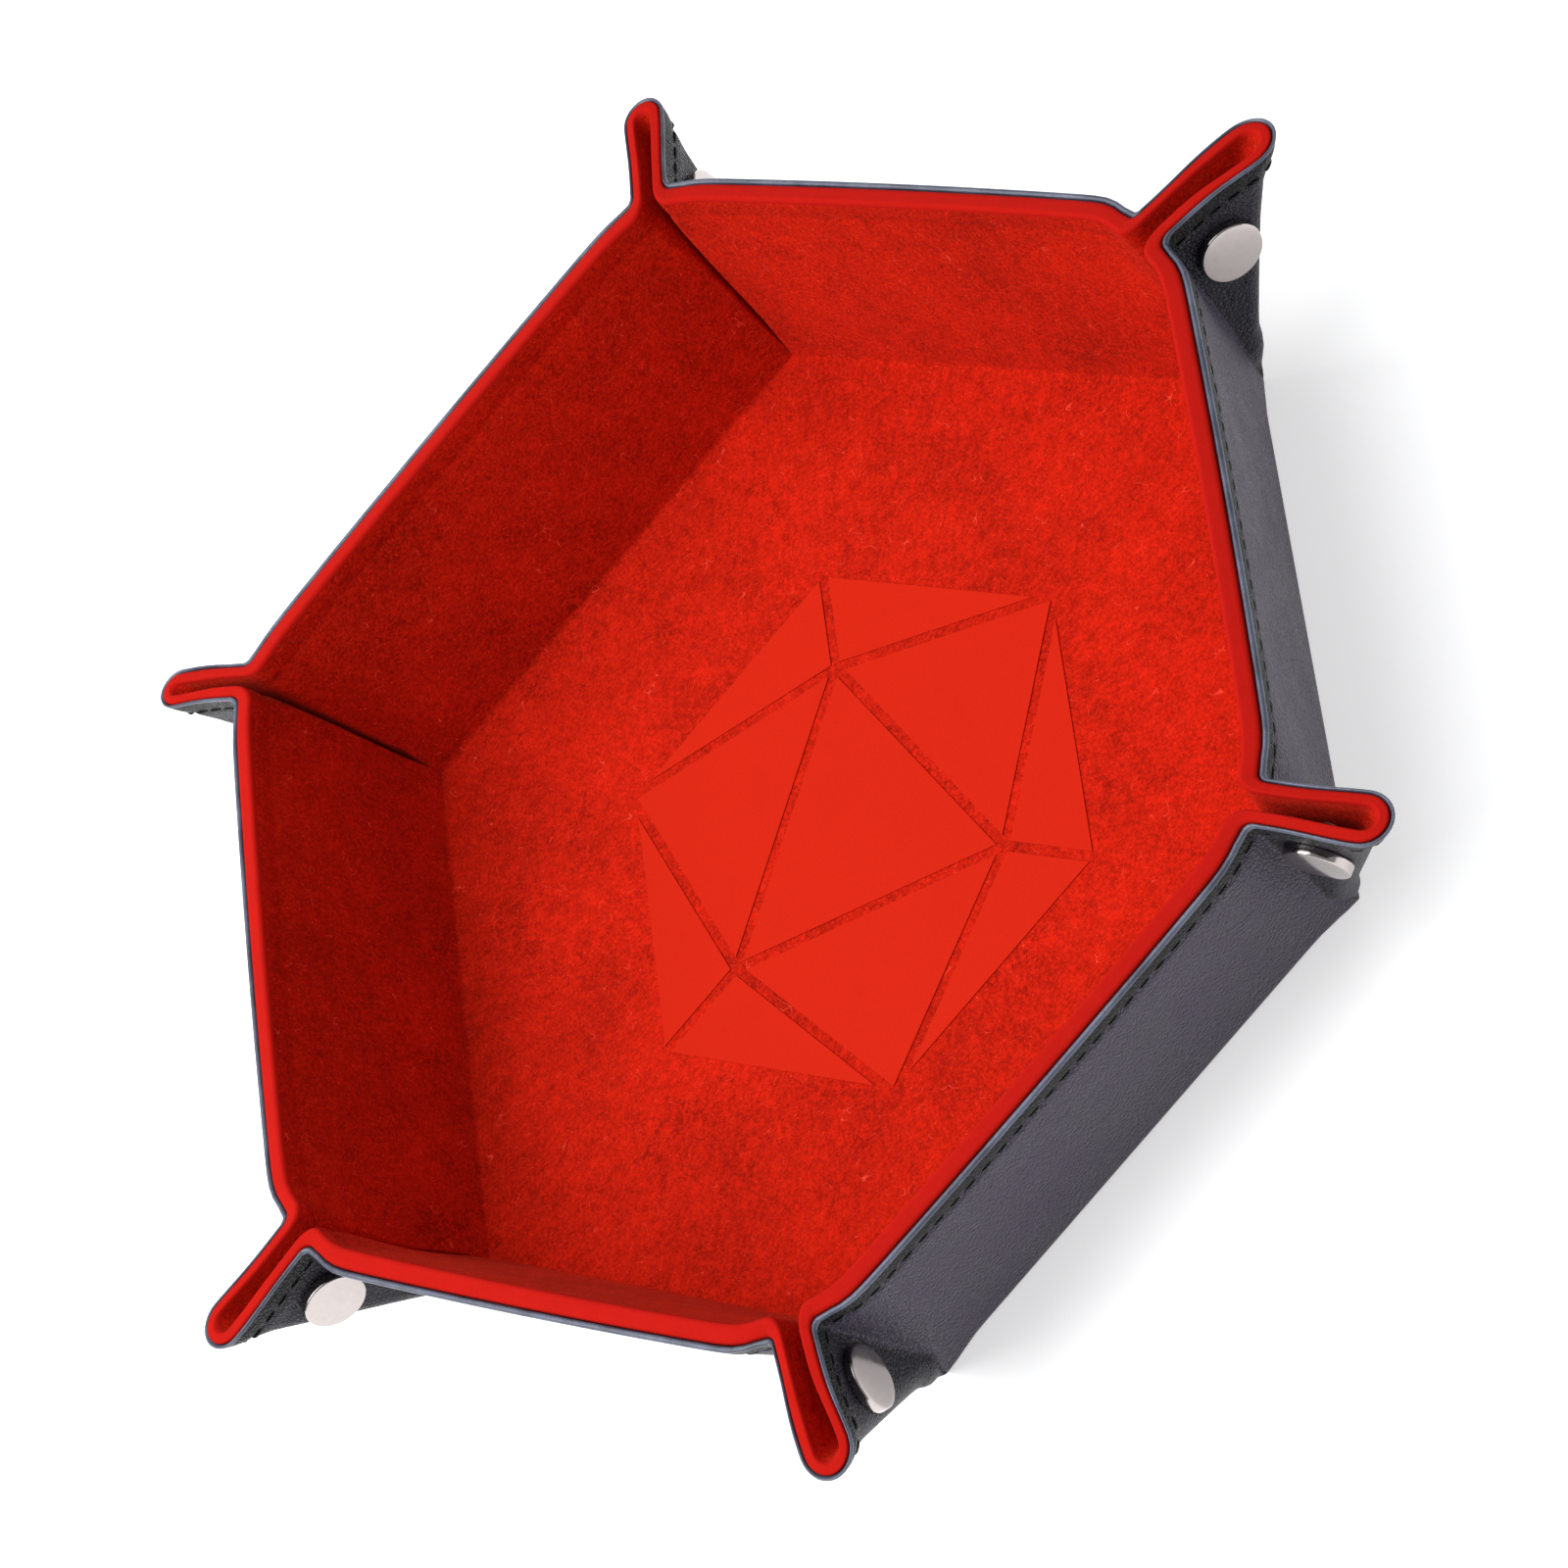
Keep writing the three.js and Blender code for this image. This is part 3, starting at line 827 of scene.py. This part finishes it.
# The ear copy of the leathercloth is painted darker than the wall copy, with less sheen: painted
# shade.
LEATHER_EAR_PAINTED_SHADE = leather_material("leather_ear_painted_shade", (20, 16, 26), (31, 26, 40), 0.02, 0.3)
LEATHER_EDGE_AND_PAINTED_HIGHLIGHT = edge_and_highlight_material()
# The hem copy is darker still, with no sheen: painted shade along the hem band.
LEATHER_HEM_PAINTED_SHADE = leather_material("leather_hem_painted_shade", (9, 8, 12), (18, 16, 22), 0.0, 0.2)
THREAD = thread_material()
NICKEL = nickel_material()
PRINT = print_material()
GREYBOARD = board_material()

# ---- camera, light and stage ----

CAMERA_TARGET = Vector((-4.55 * MM, 19.89 * MM, 2 * MIDDLE))
CAMERA_AZIMUTH = -78.756  # degrees, where the camera stands as seen from its target
CAMERA_ELEVATION = 46.580
CAMERA_ROLL = -57.843
CAMERA_DISTANCE = 1.13516
CAMERA_LENS = 148.91
TABLE_SIZE = 6.0
TABLE_GAP = 0.2 * MM


def spherical(azimuth, elevation):
    a, e = math.radians(azimuth), math.radians(elevation)
    return Vector((math.cos(e) * math.cos(a), math.cos(e) * math.sin(a), math.sin(e)))


def put(data, azimuth, elevation, distance, target=Vector(), roll=0.0):
    """A camera or light that looks at a target from an azimuth and elevation."""
    away = spherical(azimuth, elevation)
    obj = bpy.data.objects.new(data.name, data)
    obj.location = target + away * distance
    obj.rotation_mode = "QUATERNION"
    turn = Quaternion((0, 0, 1), math.radians(roll))
    obj.rotation_quaternion = away.to_track_quat("Z", "Y") @ turn
    bpy.context.scene.collection.objects.link(obj)
    return obj


def make_camera():
    data = bpy.data.cameras.new("camera")
    data.sensor_width = 36.0
    data.lens = CAMERA_LENS
    data.clip_start = 0.05
    place = (CAMERA_AZIMUTH, CAMERA_ELEVATION, CAMERA_DISTANCE)
    bpy.context.scene.camera = put(data, *place, CAMERA_TARGET, CAMERA_ROLL)


def add_light(name, azimuth, elevation, distance, size, watts):
    light = bpy.data.lights.new(name, "AREA")
    light.shape = "DISK"
    light.size = size
    light.energy = watts
    put(light, azimuth, elevation, distance)


def make_studio():
    world = bpy.data.worlds.new("studio")
    world.use_nodes = True
    background = world.node_tree.nodes["Background"]
    background.inputs["Color"].default_value = (0.96, 0.97, 1.0, 1.0)
    background.inputs["Strength"].default_value = 0.41
    bpy.context.scene.world = world
    bpy.context.scene.view_settings.view_transform = "Standard"
    add_light("key", 170, 50, 1.5, 1.3, 21)
    add_light("top", 150, 80, 1.6, 1.2, 11)
    add_light("rim", 104, 46, 1.6, 0.42, 4)

    material = Nodes("table")
    material.set(Base_Color=rgb(238, 238, 238), Roughness=0.7)
    material.set(Emission_Color=rgb(255, 255, 255), Emission_Strength=0.55)
    half = TABLE_SIZE / 2
    outline = [(-half, -half, 0), (half, -half, 0), (half, half, 0), (-half, half, 0)]
    table = new_object("table", outline, [[0, 1, 2, 3]], [material.material])
    table.location.z = -TABLE_GAP


make_camera()
make_studio()

# ---- floor ----


def hexagon(radius):
    return [radius * turned(2 * HALF_CORNER * i)[0][:2] for i in range(SIDES)]


def prism(outline, low, high, start=0):
    """Vertices and faces of an upright prism, numbered from start."""
    count = len(outline)
    vertices = [(p[0], p[1], height) for height in (low, high) for p in outline]
    under, over = range(start, start + count), range(start + count, start + 2 * count)
    faces = [list(reversed(under)), list(over)]
    for i in range(count):
        j = (i + 1) % count
        faces.append([under[i], under[j], over[j], over[i]])
    return vertices, faces


def floor_panel(name, depth, thickness, material, node):
    """The middle of the floor in one sheet, up to where the wall pieces take over."""
    apothem = (APOTHEM + MITRE * depth) * (1 - STRIP / APOTHEM)
    face = MIDDLE - depth
    low, high = sorted((face, face + math.copysign(thickness, depth)))
    radius = apothem / math.cos(HALF_CORNER)
    vertices, faces = prism(hexagon(radius), low, high)
    panel = new_object(name, vertices, faces, [material])
    panel.data.shade_flat()
    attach(panel, "root")
    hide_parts(node)
    return panel


def facet(points, gap):
    """A polygon moved inwards by gap on every side."""
    count = len(points)
    lines = []
    for i in range(count):
        a, b = np.array(points[i]), np.array(points[(i + 1) % count])
        along = (b - a) / np.linalg.norm(b - a)
        inward = np.array([-along[1], along[0]])
        lines.append((a + inward * gap, along))
    result = []
    for i in range(count):
        (p, d), (q, e) = lines[i - 1], lines[i]
        s = np.cross(q - p, e) / np.cross(d, e)
        result.append(p + d * s)
    return result


def emblem_facets():
    """A twenty-sided die seen face on: ten facets inside a hexagon."""
    golden = 2 / (1 + math.sqrt(5))
    outer = hexagon(EMBLEM_RADIUS)
    inner = {i: outer[i] * golden for i in range(1, SIDES, 2)}
    facets = [[inner[1], inner[3], inner[5]]]
    for i in range(0, SIDES, 2):
        before, after = (i - 1) % SIDES, (i + 1) % SIDES
        facets.append([inner[before], outer[i], inner[after]])
        facets.append([inner[before], outer[before], outer[i]])
        facets.append([inner[after], outer[i], outer[after]])
    return facets


def make_emblem():
    low, top = (limit.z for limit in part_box("floor_print"))
    vertices, faces = [], []
    for points in emblem_facets():
        added = prism(facet(points, EMBLEM_GAP), low, top, len(vertices))
        vertices += added[0]
        faces += added[1]
    emblem = new_object("floor_emblem", vertices, faces, [PRINT])
    emblem.data.shade_flat()
    rounding = emblem.modifiers.new("soft_corners", "BEVEL")
    rounding.width = 0.05 * MM
    rounding.segments = 2
    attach(emblem, "root")
    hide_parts("floor_print")


floor_leather = floor_panel("floor_leather", MIDDLE, COVER, LEATHER, "floor_cover")
floor_velvet = floor_panel("floor_velvet", -MIDDLE, LINING, VELVET, "floor_lining")
make_emblem()

# ---- walls and ears ----


def wall_blend(obj):
    """Bakes the wall piece's placement into its mesh."""
    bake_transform(obj)


def ear_blend(obj):
    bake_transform(obj)


def declare_wall(obj, number, sheet):
    node = {"leather": "cover", "velvet": "lining"}[sheet]
    wall_blend(obj)
    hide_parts(f"wall_{number}_{node}")


def declare_ear(obj, number):
    ear_blend(obj)
    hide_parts(f"ear_{number}_left_flap", f"ear_{number}_right_flap")


# For each sheet: its profile, its materials on walls and on ears, and how an ear's ridge bends.
SHEETS = {
    "leather": (
        leather_profile,
        [LEATHER, LEATHER_EDGE_AND_PAINTED_HIGHLIGHT, LEATHER_HEM_PAINTED_SHADE],
        [LEATHER_EAR_PAINTED_SHADE, LEATHER_EDGE_AND_PAINTED_HIGHLIGHT, LEATHER_HEM_PAINTED_SHADE],
        LEATHER_EAR_BLEND,
    ),
    "velvet": (velvet_profile, [VELVET, RIM], [VELVET, RIM], VELVET_EAR_BLEND),
}

for number in range(1, SIDES + 1):
    wall = partial(wall_columns, number)
    ear = partial(ear_columns, number)
    for sheet, (profile, materials, _, _) in SHEETS.items():
        skin = build_skin(f"wall_{number}_{sheet}", wall, profile(True), materials)
        declare_wall(skin, number, sheet)
    for sheet, (profile, _, materials, reach) in SHEETS.items():
        skin = build_skin(f"ear_{number}_{sheet}", ear, profile(False), materials)
        declare_ear(skin, number)

# ---- stitches ----


def path_lengths(path):
    """Distance of each point of a polyline from its start."""
    gaps = np.linalg.norm(np.diff(path, axis=0), axis=1)
    return np.concatenate([[0], np.cumsum(gaps)])


def stitch_lines(columns):
    """The bottom of the groove, and a line standing out from it."""
    height = np.array([rim_level(STACK / 2) - HEM])
    depths = (STACK / 2 - GROOVE, STACK / 2 - GROOVE + 1.0 * MM)
    return [columns(height, np.array([depth]))[1:-1, 0] for depth in depths]


def unit(vectors):
    return vectors / np.linalg.norm(vectors, axis=1, keepdims=True)


def stitch_frames(groove, proud, distances):
    """Points along the groove, with the sideways and outward directions there."""
    lengths = path_lengths(groove)
    line = np.stack([np.interp(distances, lengths, groove[:, k]) for k in range(3)], -1)
    nearest = [int(np.argmin(np.linalg.norm(groove - p, axis=1))) for p in line]
    tangent = unit(np.gradient(line, axis=0))
    outward = proud[nearest] - groove[nearest]
    outward = unit(outward - (outward * tangent).sum(1, keepdims=True) * tangent)
    return line, np.cross(tangent, outward), outward


def thread_points(line, sideways, outward, lift, spokes):
    """Rings of points round one thread bar that dives into the sheet at both ends."""
    rings = len(line)
    points = []
    for r in range(rings):
        t = 2 * r / (rings - 1) - 1
        swell = math.sqrt(1 - t**4) * 0.9 + 0.1
        middle = line[r] + outward[r] * (lift - STITCH_DIVE * t**6)
        for q in range(spokes):
            angle = 2 * math.pi * q / spokes
            width = STITCH_HALF_WIDTH * swell * math.cos(angle)
            tall = STITCH_HALF_HEIGHT * swell * math.sin(angle)
            points.append(middle + sideways[r] * width + outward[r] * tall)
    return points


def tube_faces(start, rings, spokes):
    faces = []
    for r in range(rings - 1):
        for q in range(spokes):
            a = start + r * spokes + q
            b = start + r * spokes + (q + 1) % spokes
            faces.append([a, b, b + spokes, a + spokes])
    faces.append([start + q for q in reversed(range(spokes))])
    faces.append([start + (rings - 1) * spokes + q for q in range(spokes)])
    return faces


def make_stitches(name, columns, lift):
    """A row of short thread bars along the bottom of the hem's groove."""
    groove, proud = stitch_lines(columns)
    length = path_lengths(groove)[-1]
    count = int(length / STITCH_PITCH)
    first = (length - count * STITCH_PITCH + STITCH_PITCH - STITCH_LENGTH) / 2
    rings, spokes = 9, 8
    vertices, faces = [], []
    for k in range(count):
        distances = first + k * STITCH_PITCH + np.linspace(0, STITCH_LENGTH, rings)
        frames = stitch_frames(groove, proud, distances)
        faces += tube_faces(len(vertices), rings, spokes)
        vertices += thread_points(*frames, lift, spokes)
    return new_object(name, vertices, faces, [THREAD])


for number in range(1, SIDES + 1):
    wall = partial(wall_columns, number)
    ear = partial(ear_columns, number)
    stitches = make_stitches(f"wall_{number}_stitches", wall, WALL_STITCH_LIFT)
    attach(stitches, f"wall_{number}")
    stitches = make_stitches(f"ear_{number}_stitches", ear, EAR_STITCH_LIFT)
    ear_blend(stitches)

# ---- snaps ----


def lathe_faces(rings):
    """Faces between rings of vertex numbers, each a full ring or the single point on the axis;
    an outline that doesn't start on the axis closes on itself."""
    pairs = list(zip(rings, rings[1:]))
    if len(rings[0]) > 1:
        pairs.append((rings[-1], rings[0]))
    faces = []
    for low, high in pairs:
        for k in range(LATHE_SEGMENTS):
            n = (k + 1) % LATHE_SEGMENTS
            if len(low) == 1:
                faces.append([high[n], high[k], low[0]])
            elif len(high) == 1:
                faces.append([low[n], high[0], low[k]])
            else:
                faces.append([low[n], high[n], high[k], low[k]])
    return faces


def lathe(name, profile, centre, axis, material):
    """A solid of revolution from an outline of (radius, height along the axis)."""
    axis = Vector(axis)
    side = axis.orthogonal().normalized()
    other = axis.cross(side)
    centre = Vector(centre)
    vertices, rings = [], []
    for radius, height in profile:
        middle = centre + axis * height
        first = len(vertices)
        if radius == 0:
            vertices.append(middle)
        else:
            for k in range(LATHE_SEGMENTS):
                angle = 2 * math.pi * k / LATHE_SEGMENTS
                spoke = side * math.cos(angle) + other * math.sin(angle)
                vertices.append(middle + spoke * radius)
        rings.append(list(range(first, len(vertices))))
    return new_object(name, vertices, lathe_faces(rings), [material])


def arc(centre_radius, centre_height, radius, start, end, count):
    """Profile points on a circle, angles in degrees from outwards towards up."""
    points = []
    for k in range(count + 1):
        angle = math.radians(mix(start, end, k / count))
        across = centre_radius + radius * math.cos(angle)
        points.append((across, centre_height + radius * math.sin(angle)))
    return points


def cap_profile():
    """A shank through the sheet, and a pressed cap: upright wall, tight edge, faint dome."""
    shank = 1.6 * MM
    shank_end = -2.4 * MM
    foot, edge, taper = 0.25 * MM, 0.4 * MM, 0.12 * MM
    profile = [(0, shank_end), (shank, shank_end), (shank, SNAP_FOOT)]
    profile += arc(CAP_RADIUS - foot, SNAP_FOOT + foot, foot, -90, 0, 4)
    profile += arc(CAP_RADIUS - taper - edge, CAP_WALL - edge, edge, 0, 80, 6)
    inner, height = profile[-1]
    dome_steps = 8
    for k in range(1, dome_steps):
        share = 1 - k / dome_steps
        profile.append((inner * share, mix(CAP_HEIGHT, height, share**2)))
    return profile + [(0, CAP_HEIGHT)]


def flange(height):
    """The outer part of a socket or stud: a flat ring with a rolled rim."""
    roll = 0.3 * MM
    inner = RING_RADIUS - roll
    rolled = arc(inner, SNAP_FOOT + roll, roll, -80, 80, 7)
    return [(inner, SNAP_FOOT)] + rolled + [(RING_RADIUS - 0.75 * MM, height)]


def socket_profile():
    """A pressed ring with a rolled lip and a sprung throat for the stud."""
    profile = [(SHANK_RADIUS, SNAP_FOOT)] + flange(0.7 * MM) + [(3.6 * MM, 1.0 * MM)]
    profile += arc(3.0 * MM, 1.3 * MM, 0.45 * MM, 10, 170, 8)
    profile += [(2.35 * MM, 1.2 * MM), (2.3 * MM, 0.65 * MM), (SHANK_RADIUS, 0.65 * MM)]
    return profile


def stud_profile():
    """A flange with a waisted, rounded stud in its middle."""
    profile = [(0, 0.65 * MM), (SHANK_RADIUS, 0.65 * MM), (SHANK_RADIUS, SNAP_FOOT)]
    profile += flange(0.75 * MM)
    profile += [(3.2 * MM, 0.8 * MM), (2.3 * MM, 0.75 * MM), (1.9 * MM, 0.9 * MM)]
    profile += arc(1.5 * MM, 1.25 * MM, 0.45 * MM, -20, 90, 5)
    return profile + [(0, 1.72 * MM)]


def snap_piece(name, profile, corner, side, face, outwards, node):
    """A snap part on one flap, face away from the ear's middle plane, which it looks away from
    if outwards is 1 and towards if it is -1."""
    axis = corner.normal * side * outwards
    centre = corner.snap + corner.normal * side * face
    piece = lathe(name, profile, centre, axis, NICKEL)
    body = f"ear_{corner.number}_{'right' if side > 0 else 'left'}"
    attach(piece, body)
    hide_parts(node)


for corner in corners:
    ear = f"ear_{corner.number}"
    for side, word in ((-1, "left"), (1, "right")):
        name = f"{ear}_{word}_snap_cap"
        snap_piece(name, cap_profile(), corner, side, SNAP_OUT, 1, f"{ear}_{word}_cap")
    snap_piece(f"{ear}_snap_socket", socket_profile(), corner, -1, SNAP_FACE, -1, f"{ear}_socket")
    snap_piece(f"{ear}_snap_stud", stud_profile(), corner, 1, SNAP_FACE, -1, f"{ear}_stud")

# ---- boards ----


def trimmed_board(number):
    """A wall's board with its upper corners cut off, clear of where the ears pull the sheets in."""
    node = frame["nodes"][f"wall_{number}_board"]
    mesh = bmesh.new()
    mesh.from_mesh(node.data)
    outwards, sideways = wall_directions(number)
    upward = outwards * math.sin(LEAN) + np.array([0.0, 0.0, math.cos(LEAN)])
    for corner, sign in ((corner_before(number), 1), (corners[number - 1], -1)):
        low = corner.origin + corner.along * BOARD_CUT_UP
        high = corner.origin + corner.along * SLANT + sideways * sign * BOARD_CUT_ALONG
        normal = np.cross(high - low, np.cross(sideways, upward)) * -sign
        geometry = mesh.verts[:] + mesh.edges[:] + mesh.faces[:]
        cut = bmesh.ops.bisect_plane(
            mesh, geom=geometry, plane_co=low, plane_no=normal, clear_outer=True
        )
        rim = [item for item in cut["geom_cut"] if isinstance(item, bmesh.types.BMEdge)]
        bmesh.ops.contextual_create(mesh, geom=rim)
    bmesh.ops.recalc_face_normals(mesh, faces=mesh.faces)
    data = bpy.data.meshes.new(f"wall_{number}_card")
    mesh.to_mesh(data)
    mesh.free()
    data.materials.clear()
    data.materials.append(GREYBOARD)
    card = bpy.data.objects.new(f"wall_{number}_card", data)
    bpy.context.scene.collection.objects.link(card)
    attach(card, f"wall_{number}")
    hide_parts(f"wall_{number}_board")


for number in range(1, SIDES + 1):
    trimmed_board(number)
floor_board = frame["nodes"]["floor_board"]
floor_board.data.materials.clear()
floor_board.data.materials.append(GREYBOARD)
